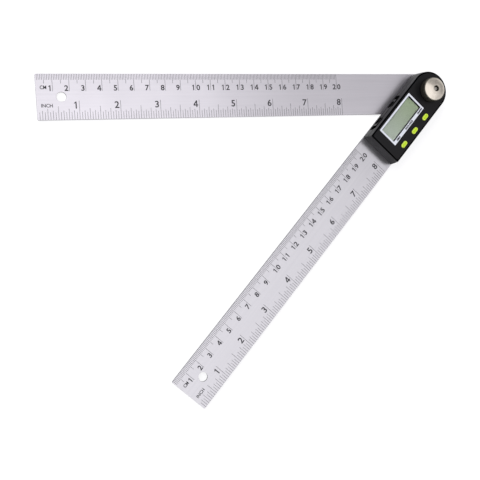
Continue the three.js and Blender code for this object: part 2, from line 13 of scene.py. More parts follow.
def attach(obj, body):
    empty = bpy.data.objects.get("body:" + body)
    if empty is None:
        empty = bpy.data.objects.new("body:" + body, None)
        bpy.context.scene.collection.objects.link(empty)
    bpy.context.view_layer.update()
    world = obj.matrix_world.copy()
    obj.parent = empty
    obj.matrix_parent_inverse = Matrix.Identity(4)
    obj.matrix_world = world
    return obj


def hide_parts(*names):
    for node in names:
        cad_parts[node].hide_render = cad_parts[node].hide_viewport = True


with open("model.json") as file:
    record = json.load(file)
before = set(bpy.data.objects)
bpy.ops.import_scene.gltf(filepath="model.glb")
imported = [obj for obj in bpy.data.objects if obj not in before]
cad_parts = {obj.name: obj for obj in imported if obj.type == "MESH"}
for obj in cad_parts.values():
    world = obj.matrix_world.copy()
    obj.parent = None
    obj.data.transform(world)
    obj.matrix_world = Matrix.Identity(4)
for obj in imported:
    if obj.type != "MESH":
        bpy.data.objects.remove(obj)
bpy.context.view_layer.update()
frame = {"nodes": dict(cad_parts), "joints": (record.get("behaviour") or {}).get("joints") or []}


# Camera
# It stands above the open ends of the rules, left of the pivot, and looks down to the right,
# so that the cm scale of the lower rule lies along the top of the view.
MM = 0.001
camera_place = Vector((-304.8, -90.7, 477.5)) * MM
camera_turn = [math.radians(angle) for angle in (0.921, -18.723, -4.207)]
camera_lens = 57.79
camera_sensor = 36.0

camera = bpy.data.objects.new("camera", bpy.data.cameras.new("camera"))
camera.location = camera_place
camera.rotation_euler = Euler(camera_turn, "XYZ")
camera.data.lens = camera_lens
camera.data.sensor_width = camera_sensor
camera.data.clip_start = MM
bpy.context.scene.collection.objects.link(camera)
bpy.context.scene.camera = camera
bpy.context.scene.view_settings.view_transform = "Standard"


# Floor and light
# A pale table and one large soft lamp at the top left. The sky is plain white to the camera,
# and darker in places where it only lights the object and shows in its steel. The table is
# lifted to white where it is seen directly or in a mirror.
def tone(red, green, blue):
    """A display colour, 0 to 255, as the linear colour that a shader takes."""
    shares = [channel / 255 for channel in (red, green, blue)]
    return (*(c / 12.92 if c <= 0.04045 else ((c + 0.055) / 1.055) ** 2.4 for c in shares), 1.0)


def add(tree, kind, inputs=None, **settings):
    """A shader node with its settings, its inputs given as values or as other nodes' outputs."""
    node = tree.nodes.new(kind)
    for name, value in settings.items():
        setattr(node, name, value)
    for socket, value in (inputs or {}).items():
        if isinstance(value, bpy.types.NodeSocket):
            tree.links.new(value, node.inputs[socket])
        else:
            node.inputs[socket].default_value = value
    return node


def rescale(tree, value, low, high, start=0.0, end=1.0):
    """A value that runs from start to end, brought to run from low to high."""
    limits = {"Value": value, "From Min": start, "From Max": end, "To Min": low, "To Max": high}
    return add(tree, "ShaderNodeMapRange", limits).outputs["Result"]


def mixed(tree, share, first, second):
    """The first colour with a share of the second."""
    colours = {0: share, 6: first, 7: second}
    return add(tree, "ShaderNodeMix", colours, data_type="RGBA").outputs[2]


def reckoned(tree, operation, *values):
    """What one step of arithmetic gives."""
    return add(tree, "ShaderNodeMath", dict(enumerate(values)), operation=operation).outputs[0]


def multiplied(tree, first, second):
    """Two colours or directions, multiplied channel by channel."""
    return add(tree, "ShaderNodeVectorMath", {0: first, 1: second}, operation="MULTIPLY").outputs[0]


def seen_directly(tree):
    """1 for what the camera, a mirror or glass sees, 0 for light that falls on the object."""
    path = add(tree, "ShaderNodeLightPath").outputs
    mirrored = reckoned(tree, "MAXIMUM", path["Is Camera Ray"], path["Is Glossy Ray"])
    return reckoned(tree, "MAXIMUM", mirrored, path["Is Transmission Ray"])


table_half = 1500.0
table_drop = 0.05
table_colour = tone(150, 150, 152)
table_roughness = 0.9
table_lift = 0.74
white = (1.0, 1.0, 1.0, 1.0)

bm = bmesh.new()
bmesh.ops.create_grid(bm, x_segments=1, y_segments=1, size=table_half * MM)
bmesh.ops.translate(bm, verts=bm.verts, vec=(0, 0, -table_drop * MM))
table_mesh = bpy.data.meshes.new("table")
bm.to_mesh(table_mesh)
bm.free()
table = bpy.data.objects.new("table", table_mesh)
bpy.context.scene.collection.objects.link(table)

table_finish = bpy.data.materials.new("white_table")
table_finish.use_nodes = True
tree = table_finish.node_tree
shader = tree.nodes["Principled BSDF"]
shader.inputs["Base Color"].default_value = table_colour
shader.inputs["Roughness"].default_value = table_roughness
shader.inputs["Specular IOR Level"].default_value = 0.0
shader.inputs["Emission Color"].default_value = white
tree.links.new(rescale(tree, seen_directly(tree), 0.0, table_lift), shader.inputs["Emission Strength"])
table_mesh.materials.append(table_finish)

# The sky's level by how far a direction leans to the right of the view, and to its upper right
sky_right = (1.0, -0.36, 0.0)
right_levels = [(-0.2, 1.1), (0.08, 1.17), (0.18, 1.46), (0.25, 1.24), (0.3, 0.85), (0.35, 0.54),
                (0.41, 0.66), (0.46, 1.24), (0.54, 1.14), (0.64, 0.92), (0.85, 0.6)]
sky_corner = (0.6, 0.8, 0.0)
corner_levels = [(0.36, 1.0), (0.44, 0.4), (0.64, 0.36), (0.8, 0.3)]
sky_tint = (1.0, 0.985, 1.01)

sky = bpy.data.worlds.new("sky")
sky.use_nodes = True
bpy.context.scene.world = sky
tree = sky.node_tree
direction = add(tree, "ShaderNodeTexCoord").outputs["Generated"]
sky_levels = []
for lean, leans in ((sky_right, right_levels), (sky_corner, corner_levels)):
    along = add(tree, "ShaderNodeVectorMath", {0: direction, 1: lean}, operation="DOT_PRODUCT")
    ramp = add(tree, "ShaderNodeValToRGB",
               {0: rescale(tree, along.outputs["Value"], 0.0, 1.0, -1.0, 1.0)})
    ramp.color_ramp.elements.remove(ramp.color_ramp.elements[1])
    for index, (leaning, level) in enumerate(leans):
        place = (leaning + 1) / 2
        element = ramp.color_ramp.elements[0] if index == 0 else ramp.color_ramp.elements.new(place)
        element.position = place
        element.color = (level, level, level, 1.0)
    sky_levels.append(ramp.outputs["Color"])
tinted = multiplied(tree, multiplied(tree, *sky_levels), sky_tint)
in_view = add(tree, "ShaderNodeLightPath").outputs["Is Camera Ray"]
backdrop = mixed(tree, in_view, tinted, white)
tree.links.new(backdrop, tree.nodes["Background"].inputs["Color"])

lamp_place = Vector((-620.0, 780.0, 900.0)) * MM
lamp_aim = Vector((-110.0, -60.0, 0.0)) * MM
lamp_size = 900.0
lamp_power = 9.0

lamp = bpy.data.objects.new("soft_lamp", bpy.data.lights.new("soft_lamp", "AREA"))
lamp.data.size = lamp_size * MM
lamp.data.energy = lamp_power
lamp.visible_glossy = False
lamp.location = lamp_place
lamp.rotation_euler = (lamp_aim - lamp_place).to_track_quat("-Z", "Y").to_euler()
bpy.context.scene.collection.objects.link(lamp)


# Rules
# Two ground stainless strips, square at the tip and round about the pivot, with a hole to
# hang them by. Their edges are broken lightly, and the faces are brushed lengthwise.
slide = next(joint for joint in frame["joints"] if joint["name"] == "drawer_slide")
upper_turn = math.atan2(-slide["axis"][0], slide["axis"][1])
lower_turn = 0.0


def levels(node, axis, turn):
    """The places of a CAD node's corners along an axis of its arm, from low to high."""
    straight = Matrix.Rotation(-turn, 3, "Z")
    corners = frame["nodes"][node].data.vertices
    return sorted({round((straight @ corner.co)[axis] / MM, 3) for corner in corners})


def sides(node, turn):
    """The places of a CAD node's corners along all three axes of its arm."""
    return [levels(node, axis, turn) for axis in range(3)]


def middle(node, turn):
    """The middle of a CAD node's box, in its arm's own directions."""
    return Vector([(side[0] + side[-1]) / 2 for side in sides(node, turn)])


def arc(centre, radius, start, end, steps):
    """Points along an arc, both ends included, its angles in quarter turns."""
    angles = [(start + (end - start) * i / steps) * math.pi / 2 for i in range(steps + 1)]
    return [(centre[0] + radius * math.cos(a), centre[1] + radius * math.sin(a)) for a in angles]


def circle(centre, radius, steps=64):
    return arc(centre, radius, 0, 4, steps)[:-1]


def tongue(reach, half, corner):
    """A bar's outline with a square end at -reach and a round end about the pivot."""
    x, y = corner - reach, half - corner
    ends = arc((x, y), corner, 1, 2, 6) + arc((x, -y), corner, 2, 3, 6)
    return ends + arc((0, 0), half, -1, 1, 96)


def drawn(curve):
    """The bmesh of a flat curve or of lettering, with its seams closed."""
    holder = bpy.data.objects.new("drawing", curve)
    mesh = bpy.data.meshes.new_from_object(holder)
    bm = bmesh.new()
    bm.from_mesh(mesh)
    bpy.data.objects.remove(holder)
    bpy.data.curves.remove(curve)
    bpy.data.meshes.remove(mesh)
    bmesh.ops.remove_doubles(bm, verts=bm.verts, dist=1e-4)
    return bm


def plate(outline, holes, bottom, top, edge, rounds=2):
    """A plate cut to an outline with holes, all its edges rounded alike."""
    curve = bpy.data.curves.new("outline", "CURVE")
    curve.dimensions = "2D"
    curve.fill_mode = "BOTH"
    curve.extrude = (top - bottom) / 2 - edge
    curve.bevel_depth = edge
    curve.bevel_resolution = rounds
    curve.offset = -edge
    for loop in (outline, *holes):
        spline = curve.splines.new("POLY")
        spline.points.add(len(loop) - 1)
        for point, (x, y) in zip(spline.points, loop):
            point.co = (x, y, 0, 1)
        spline.use_cyclic_u = True
    bm = drawn(curve)
    bmesh.ops.translate(bm, verts=bm.verts, vec=(0, 0, (bottom + top) / 2))
    bmesh.ops.recalc_face_normals(bm, faces=bm.faces)
    return bm


def turned(profile, steps=96):
    """A closed outline of (radius, height) corners spun about the Z axis."""
    bm = bmesh.new()
    corners = [bm.verts.new((radius, 0, height)) for radius, height in profile]
    lines = [bm.edges.new(pair) for pair in zip(corners, corners[1:] + corners[:1])]
    lines = [line for line in lines if any(corner.co.x > 0 for corner in line.verts)]
    bmesh.ops.spin(bm, geom=corners + lines, cent=(0, 0, 0), axis=(0, 0, 1), dvec=(0, 0, 0),
                   angle=2 * math.pi, steps=steps, use_merge=True, use_duplicate=False)
    bmesh.ops.remove_doubles(bm, verts=bm.verts, dist=1e-4)
    loose = [edge for edge in bm.edges if not edge.link_faces]
    bmesh.ops.delete(bm, geom=loose, context="EDGES")
    bmesh.ops.recalc_face_normals(bm, faces=bm.faces)
    return bm


def moved(bm, x, y, z=0.0):
    bmesh.ops.translate(bm, verts=bm.verts, vec=(x, y, z))
    return bm


def combined(operation, first, *others):
    """The first body with the others cut out of it, joined to it, or met with it."""
    def holder(bm):
        mesh = bpy.data.meshes.new("body")
        bm.to_mesh(mesh)
        bm.free()
        body = bpy.data.objects.new("body", mesh)
        bpy.context.scene.collection.objects.link(body)
        return body

    bodies = [holder(bm) for bm in (first, *others)]
    for other in bodies[1:]:
        modifier = bodies[0].modifiers.new("combine", "BOOLEAN")
        modifier.operation = operation
        modifier.solver = "EXACT"
        modifier.object = other
    graph = bpy.context.evaluated_depsgraph_get()
    mesh = bpy.data.meshes.new_from_object(bodies[0].evaluated_get(graph))
    bm = bmesh.new()
    bm.from_mesh(mesh)
    bpy.data.meshes.remove(mesh)
    for body in bodies:
        bpy.data.meshes.remove(body.data)
    bmesh.ops.remove_doubles(bm, verts=bm.verts, dist=1e-4)
    return bm


def settled(bm, name, finishes, turn):
    """Brings a piece from millimetres to metres at its arm's angle and makes it an object."""
    bmesh.ops.scale(bm, verts=bm.verts, vec=(MM, MM, MM))
    bmesh.ops.rotate(bm, verts=bm.verts, cent=(0, 0, 0), matrix=Matrix.Rotation(turn, 3, "Z"))
    mesh = bpy.data.meshes.new(name)
    bm.to_mesh(mesh)
    bm.free()
    for finish in finishes:
        mesh.materials.append(finish)
    mesh.shade_smooth()
    mesh.set_sharp_from_angle(angle=math.radians(40))
    piece = bpy.data.objects.new(name, mesh)
    bpy.context.scene.collection.objects.link(piece)
    weighted = piece.modifiers.new("flat_faces", "WEIGHTED_NORMAL")
    weighted.keep_sharp = True
    return piece


def effect(name, inputs, outputs):
    """An empty node group, with its input and output nodes."""
    tree = bpy.data.node_groups.new(name, "ShaderNodeTree")
    for label, default in inputs.items():
        kind = "NodeSocketVector" if default is None else "NodeSocketFloat"
        socket = tree.interface.new_socket(label, in_out="INPUT", socket_type=kind)
        if default is not None:
            socket.default_value = default
    for label in outputs:
        tree.interface.new_socket(label, in_out="OUTPUT", socket_type="NodeSocketFloat")
    return tree, add(tree, "NodeGroupInput"), add(tree, "NodeGroupOutput")


def stretched_noise(tree, vector, scale, detail=2.0):
    """Noise drawn out along one axis: its scale is in features to the metre along X, Y and Z."""
    noise = {"Vector": multiplied(tree, vector, scale), "Scale": 1.0, "Detail": detail, "Roughness": 0.6}
    return add(tree, "ShaderNodeTexNoise", noise).outputs["Fac"]


# Brushing lines along X: a fine height, and the broad streaks that show from a step away
brushing, entry, leave = effect("brushing", {"Vector": None}, ["Height", "Streak"])
fine = stretched_noise(brushing, entry.outputs["Vector"], (60, 9000, 60))
broad = stretched_noise(brushing, entry.outputs["Vector"], (9, 620, 9), detail=4.0)
brushing.links.new(fine, leave.inputs["Height"])
brushing.links.new(broad, leave.inputs["Streak"])

# Handling marks: soft smudges, for colour and roughness
handling, entry, leave = effect("handling", {"Vector": None, "Scale": 60.0}, ["Smudge"])
spots = {"Vector": entry.outputs["Vector"], "Scale": entry.outputs["Scale"], "Detail": 5.0}
clouds = add(handling, "ShaderNodeTexNoise", spots).outputs["Fac"]
handling.links.new(rescale(handling, clouds, 0.0, 1.0, 0.35, 0.65), leave.inputs["Smudge"])


def finish_start(name, turn):
    """A new material: its tree, its shader, and the object's place along its own arm."""
    finish = bpy.data.materials.new(name)
    finish.use_nodes = True
    tree = finish.node_tree
    place = add(tree, "ShaderNodeTexCoord").outputs["Object"]
    along = add(tree, "ShaderNodeMapping", {"Vector": place, "Rotation": (0, 0, -turn)})
    return finish, tree, tree.nodes["Principled BSDF"], along.outputs["Vector"]


def place_group(tree, group, inputs):
    return add(tree, "ShaderNodeGroup", inputs, node_tree=group).outputs


def smudges(tree, along, scale):
    return place_group(tree, handling, {"Vector": along, "Scale": scale})["Smudge"]


def coloured(tree, shader, share, dark, light):
    """A colour between two, by a share that changes over the surface."""
    tree.links.new(mixed(tree, share, dark, light), shader.inputs["Base Color"])


def bump(tree, shader, height, distance):
    """Relief on a shader: how far the height runs, in millimetres."""
    relief = add(tree, "ShaderNodeBump", {"Height": height, "Strength": 1.0, "Distance": distance * MM})
    tree.links.new(relief.outputs["Normal"], shader.inputs["Normal"])


def spread(tree, shader, grain_across, amount):
    """Draws the highlights out across the grain. The direction is given on the object."""
    world = add(tree, "ShaderNodeVectorTransform", {"Vector": grain_across}, vector_type="VECTOR",
                convert_from="OBJECT", convert_to="WORLD")
    tree.links.new(world.outputs[0], shader.inputs["Tangent"])
    shader.inputs["Anisotropic"].default_value = amount


steel_smudge_scale = 34.0
steel_roughness = (0.28, 0.33)
# The steel colour of the sheared edges is a dark grey painted shade.
sheared_edge_painted_shade = tone(48, 48, 52)
sheared_roughness = 0.55
edge_flatness, face_flatness = 0.3, 0.8
brushed_spread = 0.65
brushed_depth = 0.0015


def brushed_steel(name, turn, dark, light):
    """Steel brushed along the arm, its sheared edges rougher and painted dark grey as painted shade."""
    finish, tree, shader, along = finish_start(name, turn)
    lines = place_group(tree, brushing, {"Vector": along})
    steel = mixed(tree, lines["Streak"], dark, light)
    # Faces that turn away from up, found by their normal, take the edge colour: painted shade on the sides.
    facing = add(tree, "ShaderNodeNewGeometry").outputs["True Normal"]
    upward = add(tree, "ShaderNodeSeparateXYZ", {0: facing}).outputs["Z"]
    flatness = reckoned(tree, "ABSOLUTE", upward)
    face = rescale(tree, flatness, 0.0, 1.0, edge_flatness, face_flatness)
    coloured(tree, shader, face, sheared_edge_painted_shade, steel)
    worn = rescale(tree, smudges(tree, along, steel_smudge_scale), *steel_roughness)
    roughness = add(tree, "ShaderNodeMix", {0: face, 2: sheared_roughness, 3: worn}).outputs[0]
    tree.links.new(roughness, shader.inputs["Roughness"])
    shader.inputs["Metallic"].default_value = 1.0
    spread(tree, shader, (-math.sin(turn), math.cos(turn), 0.0), brushed_spread)
    bump(tree, shader, lines["Height"], brushed_depth)
    return finish


rule_edge = 0.12
rule_corner = 0.6
hanging_hole_inset = 15.0
hanging_hole_radius = 3.0
fit_gap = 0.3
screw_names = [f"head_screw_{number}" for number in (1, 2, 3, 4)]


def rule_plate(node, turn, pivot_hole_radius):
    x, y, z = sides(node, turn)
    hanging = circle((x[0] + hanging_hole_inset, 0), hanging_hole_radius)
    holes = [hanging, circle((0, 0), pivot_hole_radius, 96)]
    return plate(tongue(-x[0], y[-1], rule_corner), holes, z[0], z[-1], rule_edge)


lower_steel = brushed_steel("lower_rule_steel", lower_turn, tone(222, 220, 226), tone(238, 235, 241))
hub_radius = levels("pivot_hub", 0, lower_turn)[-1]
lower_blade = rule_plate("lower_rule", lower_turn, hub_radius + fit_gap)
lower_rule = settled(lower_blade, "lower_rule_blade", [lower_steel], lower_turn)
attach(lower_rule, "lower_arm")
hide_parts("lower_rule")

# The upper rule is countersunk from below for the four screws that hold the head
upper_steel = brushed_steel("upper_rule_steel", upper_turn, tone(214, 213, 218), tone(229, 228, 232))
upper_z = levels("upper_rule", 2, upper_turn)
flange_step = 2.2
bush_hole = hub_radius - flange_step
sink_low, sink_high = 2.2, 1.3
sink_depth = 0.9
cut_past = 2.0
blade = rule_plate("upper_rule", upper_turn, bush_hole)
sinks = []
for screw in screw_names:
    centre = middle(screw, upper_turn)
    low, high = upper_z[0] - cut_past, upper_z[-1] + cut_past
    cone = [(0, low), (sink_low, low), (sink_low, upper_z[0]), (sink_high, upper_z[0] + sink_depth),
            (sink_high, high), (0, high)]
    sinks.append(moved(turned(cone, 40), centre.x, centre.y))
blade = combined("DIFFERENCE", blade, *sinks)
upper_rule = settled(blade, "upper_rule_blade", [upper_steel], upper_turn)
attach(upper_rule, "upper_arm")
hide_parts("upper_rule")


# Scales
# Black marks etched on both rules, read from the tip: centimetres along one edge, and inches
# in sixteenths along the other. They are drawn as a skin that stands just off the steel.
mark_sunk = 0.01
mark_rise = 0.012
mark_half = (mark_sunk + mark_rise) / 2
mark_lift = (mark_rise - mark_sunk) / 2
tick_width = 0.2
edge_room = 0.14
millimetre_ticks = [(10, 10.6), (5, 5.9), (1, 3.65)]
sixteenth_ticks = [(16, 11.5), (8, 8.3), (4, 6.75), (2, 5.6), (1, 4.65)]
sixteenth = 25.4 / 16
number_drop = 6.95
number_height = 3.5
number_shift = 1.72
inch_drop = 17.0
inch_height = 4.25
inch_shift = 2.3
number_weight = 0.022
number_stroke = 0.62
inch_weight = 0.016
inch_stroke = 0.7
number_width = 1.05
unit_weight = 0.02
cm_height, cm_width, cm_along, cm_drop = 2.3, 0.88, 4.5, 9.35
inch_word_height, inch_word_width, inch_word_along, inch_word_drop = 2.2, 0.97, 6.1, 20.4


def lettering(words, height, width_share, weight):
    """Raised letters of one height, with the middle of their foot at the origin."""
    font = bpy.data.curves.new("letters", "FONT")
    font.body = words
    font.size = 1.0
    font.offset = weight
    font.extrude = mark_half
    font.resolution_u = 4
    bm = drawn(font)
    corners = [vert.co.copy() for vert in bm.verts]
    low = Vector([min(corner[axis] for corner in corners) for axis in range(3)])
    tall = max(corner.y for corner in corners) - low.y
    centre = (low.x + max(corner.x for corner in corners)) / 2
    bmesh.ops.translate(bm, verts=bm.verts, vec=(-centre, -low.y, 0))
    scale = height / tall
    bmesh.ops.scale(bm, verts=bm.verts, vec=(scale * width_share, scale, 1))
    return bm


def figure_four(height, stroke):
    """A raised four, drawn for itself because the font's one closes up when it is made bold."""
    stem, bar, overhang = 0.42 * height, 0.22 * height, 0.13 * height
    stem_right, bar_top = stem + stroke, bar + stroke
    slope = math.atan2(height - bar_top, stem)
    start = stroke / math.sin(slope)
    counter = [(start, bar_top), (stem, bar_top), (stem, bar_top + (stem - start) * math.tan(slope))]
    outline = [(stem, 0), (stem_right, 0), (stem_right, bar), (stem_right + overhang, bar),
               (stem_right + overhang, bar_top), (stem_right, bar_top), (stem_right, height),
               (stem, height), (0, bar_top), (0, bar), (stem, bar)]
    body = plate(outline, [counter], -mark_half, mark_half, 0.0, 0)
    return moved(body, -(stem_right + overhang) / 2, 0)


def figure_one(height, stroke):
    """A raised one with a flag, which the font's one lacks."""
    reach, flag_top, flag_low = 0.19 * height, 0.82 * height, 0.68 * height
    right = reach + stroke
    outline = [(reach, 0), (right, 0), (right, height), (right - 0.75 * stroke, height), (0, flag_top),
               (0, flag_low), (reach, flag_top)]
    return moved(plate(outline, [], -mark_half, mark_half, 0.0, 0), -reach, 0)


def figure(digit, height, stroke, weight):
    """One figure of the scales, by its height and the width of its strokes."""
    if digit == "1":
        return figure_one(height, stroke)
    if digit == "4":
        return figure_four(height, stroke)
    return lettering(digit, height, number_width, weight)


def gathered(parts):
    """Several separate bodies in one bmesh."""
    whole = bmesh.new()
    for part in parts:
        mesh = bpy.data.meshes.new("part")
        part.to_mesh(mesh)
        part.free()
        whole.from_mesh(mesh)
        bpy.data.meshes.remove(mesh)
    return whole


def scale_marks(node, turn):
    """All marks of one rule, with their middle height at its top face."""
    x, y, z = sides(node, turn)
    tip, cm_edge, inch_edge = x[0], y[-1], y[0]
    face = z[-1] + mark_lift
    parts = []

    def tick(place, edge, inward, length):
        start = edge + inward * edge_room
        middle_y = start + inward * (length - edge_room) / 2
        size = Matrix.Diagonal((tick_width, length - edge_room, 2 * mark_half, 1))
        bar = bmesh.new()
        bmesh.ops.create_cube(bar, size=1.0, matrix=Matrix.Translation((place, middle_y, face)) @ size)
        parts.append(bar)

    def word(body, x, y_low):
        parts.append(moved(body, x, y_low, face))

    for count in range(1, 201):
        length = next(reach for every, reach in millimetre_ticks if count % every == 0)
        tick(tip + count, cm_edge, -1, length)
    for count in range(1, 129):
        length = next(reach for every, reach in sixteenth_ticks if count % every == 0)
        tick(tip + count * sixteenth, inch_edge, 1, length)
    number_low = cm_edge - number_drop - number_height
    for count in range(1, 21):
        for digit, side in zip(str(count), (-1, 1)):
            body = figure(digit, number_height, number_stroke, number_weight)
            word(body, tip + count * 10 + side * number_shift, number_low)
    for count in range(1, 9):
        body = figure(str(count), inch_height, inch_stroke, inch_weight)
        word(body, tip + count * 16 * sixteenth - inch_shift, cm_edge - inch_drop - inch_height)
    word(lettering("CM", cm_height, cm_width, unit_weight), tip + cm_along, cm_edge - cm_drop)
    word(lettering("INCH", inch_word_height, inch_word_width, unit_weight),
         tip + inch_word_along, cm_edge - inch_word_drop)
    return gathered(parts)


def roughened(tree, shader, share, low, high):
    """A roughness between two, by a share that changes over the surface."""
    tree.links.new(rescale(tree, share, low, high), shader.inputs["Roughness"])


def etched_black(name, turn):
    """A matt black fill, unevenly dark as an etched mark is."""
    finish, tree, shader, along = finish_start(name, turn)
    fill = smudges(tree, along, scale=900.0)
    coloured(tree, shader, fill, tone(34, 34, 38), tone(58, 57, 62))
    roughened(tree, shader, fill, low=0.45, high=0.65)
    shader.inputs["Specular IOR Level"].default_value = 0.3
    return finish


for node, body, turn in (("lower_rule", "lower_arm", lower_turn), ("upper_rule", "upper_arm", upper_turn)):
    mark_black = etched_black(f"{node}_marks", turn)
    marks = settled(scale_marks(node, turn), f"{node}_scales", [mark_black], turn)
    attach(marks, body)


# Pivot
# The hub is turned from nickel plated brass and staked in the lower rule. It carries a nylon
# washer, the bush of the upper arm, a wave spring, a retaining ring and the encoder's disc.

# Turning rings about the Z axis: a fine height, and broad rings
turning, entry, leave = effect("turning", {"Vector": None, "Fineness": 9000.0}, ["Height", "Ring"])
flat = multiplied(turning, entry.outputs["Vector"], (1, 1, 0))
radius = add(turning, "ShaderNodeVectorMath", {0: flat}, operation="LENGTH").outputs["Value"]
for label, share in (("Height", 1.0), ("Ring", 0.16)):
    pitch = reckoned(turning, "MULTIPLY", entry.outputs["Fineness"], share)
    count = reckoned(turning, "MULTIPLY", radius, pitch)
    rings = add(turning, "ShaderNodeTexNoise", {"W": count, "Scale": 1.0, "Detail": 2.0},
                noise_dimensions="1D")
    turning.links.new(rings.outputs["Fac"], leave.inputs[label])


def turned_metal(name, dark, light, roughness, groove, drawn_out=0.6):
    """Metal turned about the pivot axis: two colours, roughness, depth of grooves, and spread."""
    finish, tree, shader, along = finish_start(name, 0.0)
    spread(tree, shader, multiplied(tree, along, (1, 1, 0)), drawn_out)
    rings = place_group(tree, turning, {"Vector": along})
    coloured(tree, shader, rings["Ring"], dark, light)
    roughened(tree, shader, smudges(tree, along, scale=120.0), roughness, roughness + 0.07)
    shader.inputs["Metallic"].default_value = 1.0
    bump(tree, shader, rings["Height"], groove)
    return finish


def dress(node, finish):
    """Gives a CAD node that stays its finish."""
    mesh = frame["nodes"][node].data
    mesh.materials.clear()
    mesh.materials.append(finish)


def satin_plastic(name, dark, light, roughness):
    """Moulded plastic of two near colours with a fine grain."""
    finish, tree, shader, along = finish_start(name, 0.0)
    smudge = smudges(tree, along, scale=150.0)
    coloured(tree, shader, smudge, dark, light)
    roughened(tree, shader, smudge, roughness - 0.05, roughness + 0.05)
    fine_grain = add(tree, "ShaderNodeTexNoise", {"Vector": along, "Scale": 7000.0, "Detail": 2.0})
    bump(tree, shader, fine_grain.outputs["Fac"], distance=0.004)
    return finish


nickel = turned_metal("turned_nickel", tone(196, 192, 184), tone(226, 222, 214),
                      roughness=0.24, groove=0.003)
spring_steel = turned_metal("spring_steel", tone(150, 150, 152), tone(186, 186, 188),
                            roughness=0.3, groove=0.002)
brass = turned_metal("turned_brass", tone(176, 142, 78), tone(214, 182, 112),
                     roughness=0.28, groove=0.003)
nylon = satin_plastic("natural_nylon", tone(214, 209, 196), tone(232, 228, 218), roughness=0.5)
dress("pivot_hub", nickel)
for node in ("retaining_ring", "wave_spring"):
    dress(node, spring_steel)
dress("friction_washer", nylon)
dress("pivot_bush", brass)


# Head base
# A tub moulded in black ABS that is screwed on the upper rule. Its walls lean in above a
# moulded groove, have two scoops for a nail over the drawer, and end in a lip round the
# cover, with a gap between whose floor is painted near black as painted shadow. Inside are
# screw posts and drawer rails.
base_x, base_y, base_z = sides("housing_base", upper_turn)
cover_y, cover_z = sides("housing_cover", upper_turn)[1:]
head_reach = -base_x[0]
foot_half = base_y[-1]
head_corner = 1.0
head_edge = 0.2
groove_height = 8.35
groove_half = 0.25
groove_depth = 0.22
lip_top = cover_z[-1] - 0.55
groove_low, groove_high = groove_height - groove_half, groove_height + groove_half
wall_insets = [(base_z[0], 0.0), (groove_low, 0.45), (groove_height, 0.48 + groove_depth),
               (groove_high, 0.5), (cover_z[-1], 1.0)]
end_insets = [(groove_low, 0.0), (groove_height, groove_depth), (groove_high, 0.0)]
lip_width = 0.25
lip_gap = 0.95
ledge_height = cover_z[-1] - 1.25
wall = 1.6
end_wall = 2.4
floor_thickness = 1.0
floor_root, wall_root = 0.5, 0.2
post_radius = 2.2
screw_hole_radius = 1.3
board_z = levels("circuit_board", 2, upper_turn)


def between(height, table):
    """The value at a height, drawn straight between a table's (height, value) pairs."""
    if height <= table[0][0]:
        return table[0][1]
    for (low, low_value), (high, high_value) in zip(table, table[1:]):
        if height <= high:
            return low_value + (high_value - low_value) * (height - low) / (high - low)
    return table[-1][1]


def leaning(bm):
    """Draws the sides and the ends in with height, as the mould does."""
    for height in (groove_low, groove_height, groove_high):
        whole = bm.verts[:] + bm.edges[:] + bm.faces[:]
        bmesh.ops.bisect_plane(bm, geom=whole, plane_co=(0, 0, height), plane_no=(0, 0, 1))
    for vert in bm.verts:
        width_share = 1 - between(vert.co.z, wall_insets) / foot_half
        vert.co.y *= width_share
        if vert.co.x > 0:
            vert.co.x *= width_share
        elif vert.co.x < head_corner - head_reach + 0.01:
            vert.co.x += between(vert.co.z, end_insets)
    return bm


def block(x0, x1, y0, y1, z0, z1):
    bm = bmesh.new()
    centre = Matrix.Translation(((x0 + x1) / 2, (y0 + y1) / 2, (z0 + z1) / 2))
    bmesh.ops.create_cube(bm, size=1.0, matrix=centre @ Matrix.Diagonal((x1 - x0, y1 - y0, z1 - z0, 1)))
    return bm


def rod(centre, radius, bottom, top, steps=40):
    return moved(turned([(0, bottom), (radius, bottom), (radius, top), (0, top)], steps), centre.x, centre.y)


def pill(centre, length, width, steps=14):
    radius = width / 2
    reach = length / 2 - radius
    right = arc((centre.x + reach, centre.y), radius, -1, 1, steps)
    return right + arc((centre.x - reach, centre.y), radius, 1, 3, steps)


drawer_x, drawer_y, drawer_z = sides("battery_drawer", upper_turn)
drawer_front = 1.4
top_half = cover_y[-1]
front_back = top_half - drawer_front
cradle_half = 11.7
drawer_middle = (drawer_x[0] + drawer_x[-1]) / 2
rail_inner = cradle_half + fit_gap
rail_thickness = 1.0
rail_top = 7.3
scoop_shift, scoop_height = 10.2, 8.9
scoop_length, scoop_width, scoop_depth = 10.0, 1.7, 0.35


def wall_hollow(shift, height, length, width, depth):
    """A cutter for a pill-shaped hollow in the wall that the drawer is in.

    It is drawn as a flat plate and stood up, so that its height runs out through the wall.
    """
    outline = pill(Vector((drawer_middle + shift, height)), length, width)
    bm = plate(outline, [], top_half - depth, foot_half + cut_past, 0.0, 0)
    bmesh.ops.rotate(bm, verts=bm.verts, cent=(0, 0, 0), matrix=Matrix.Rotation(math.pi / 2, 3, "X"))
    bmesh.ops.scale(bm, verts=bm.verts, vec=(1, -1, 1))
    bmesh.ops.reverse_faces(bm, faces=bm.faces)
    return bm


